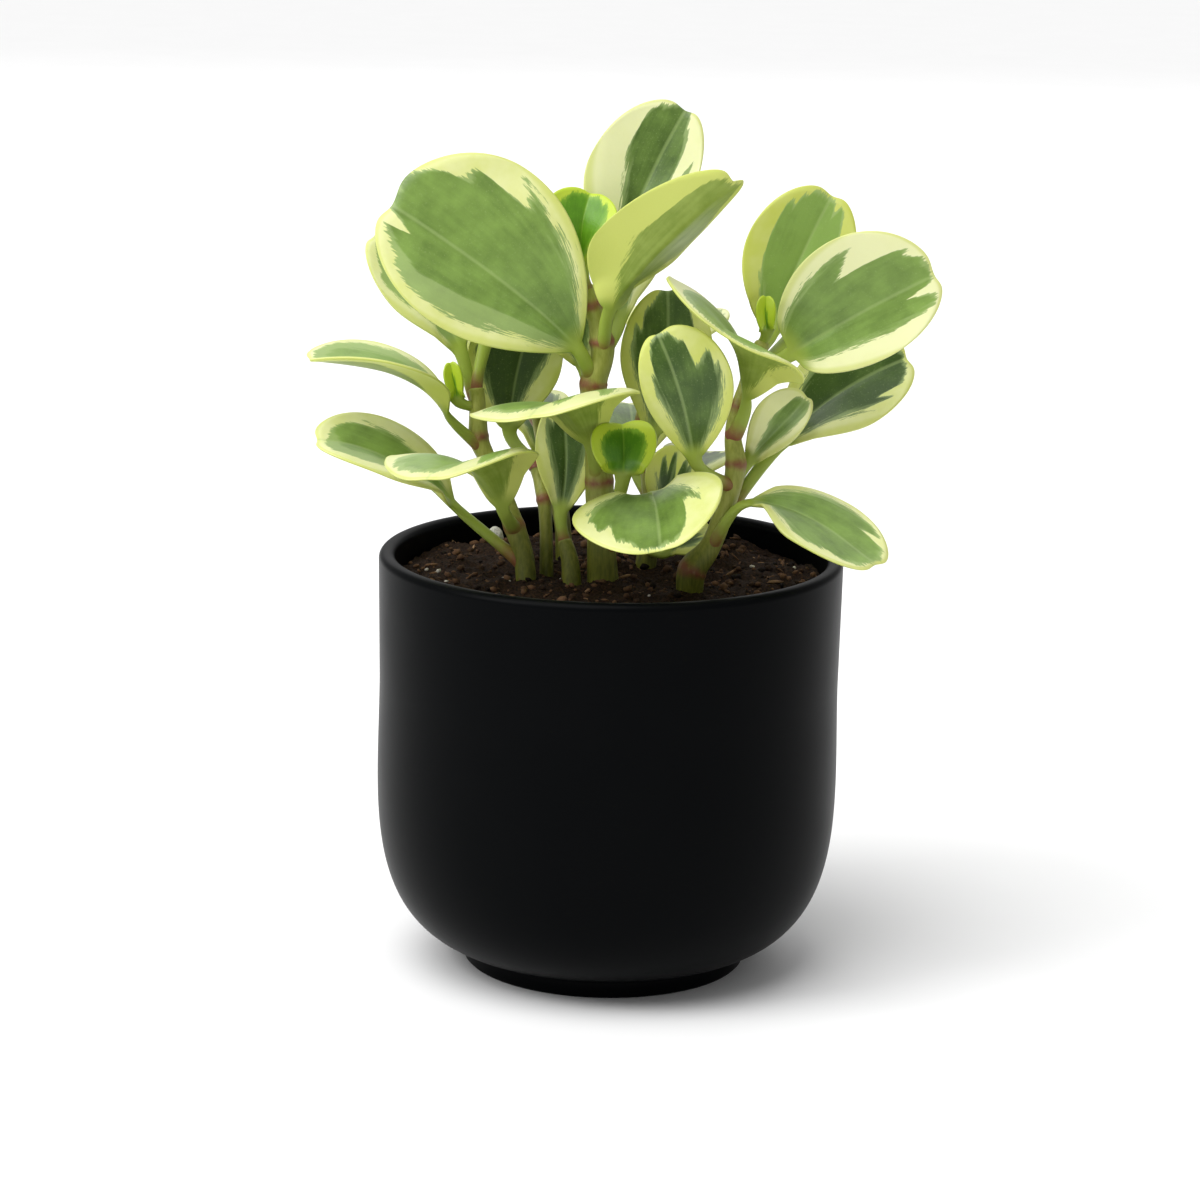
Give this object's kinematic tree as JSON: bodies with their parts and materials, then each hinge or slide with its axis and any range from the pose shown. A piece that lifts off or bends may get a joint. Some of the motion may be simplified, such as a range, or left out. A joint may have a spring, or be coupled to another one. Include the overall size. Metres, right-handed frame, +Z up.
{
  "type": "potted variegated baby rubber plant",
  "caption": "Upright succulent-leaved houseplant with thick rounded cream-edged green leaves, standing in a round-bottomed black ceramic pot with a low foot.",
  "frame": {"origin": "centre of the flat foot of the pot, on the surface it stands on", "axes": "+Z up along the pot's axis; -Y towards the side shown in the picture; +X to the viewer's right"},
  "size_m": [0.1574, 0.12, 0.2247],
  "materials": {
    "glaze": "black satin glaze, evenly smooth, soft highlight on the rim",
    "soil": "dark crumbly potting mix of peat and bark, matt",
    "stem": "olive green fleshy stem with red-brown nodes, semi-gloss",
    "leaf": "thick waxy leaf, green centre with jagged flames into a cream margin, satin",
    "young_leaf": "young leaf, saturated green with a lime rim, glossier",
    "perlite": "pale grey-white, rough and porous"
  },
  "bodies": {
    "root": {"pot": "glaze", "soil": "soil", "pebble": "perlite", "stem_left": "stem", "stem_main": "stem", "stem_right": "stem", "stem_slim": "stem", "stem_fork": "stem", "stem_back": "stem", "stem_back_left": "stem", "leaf_big_round": "leaf", "leaf_behind_big": "leaf", "leaf_hidden_upright": "leaf", "leaf_upper_left": "leaf", "leaf_lower_left": "leaf", "leaf_front_left": "leaf", "leaf_front_centre": "leaf", "leaf_young_top": "young_leaf", "leaf_upper_right": "leaf", "leaf_top": "leaf", "leaf_behind_left": "leaf", "leaf_behind_main": "leaf", "leaf_cup": "young_leaf", "leaf_tall_behind": "leaf", "leaf_tilted_right": "leaf", "leaf_oval": "leaf", "leaf_front_low": "leaf", "leaf_low_right": "leaf", "leaf_right_round": "leaf", "leaf_right_upright": "leaf", "leaf_right_mid": "leaf", "leaf_right_small": "leaf", "leaf_bud_right": "young_leaf", "leaf_bud_left": "young_leaf", "leaf_dark_centre": "leaf", "leaf_low_back": "leaf", "leaf_fork": "leaf", "leaf_back_left": "leaf", "leaf_back_left_low": "leaf", "leaf_back_low": "leaf", "leaf_back_centre": "leaf", "leaf_back_right": "leaf", "leaf_back_top": "leaf", "leaf_back_low_right": "leaf"}
  },
  "joints": []
}
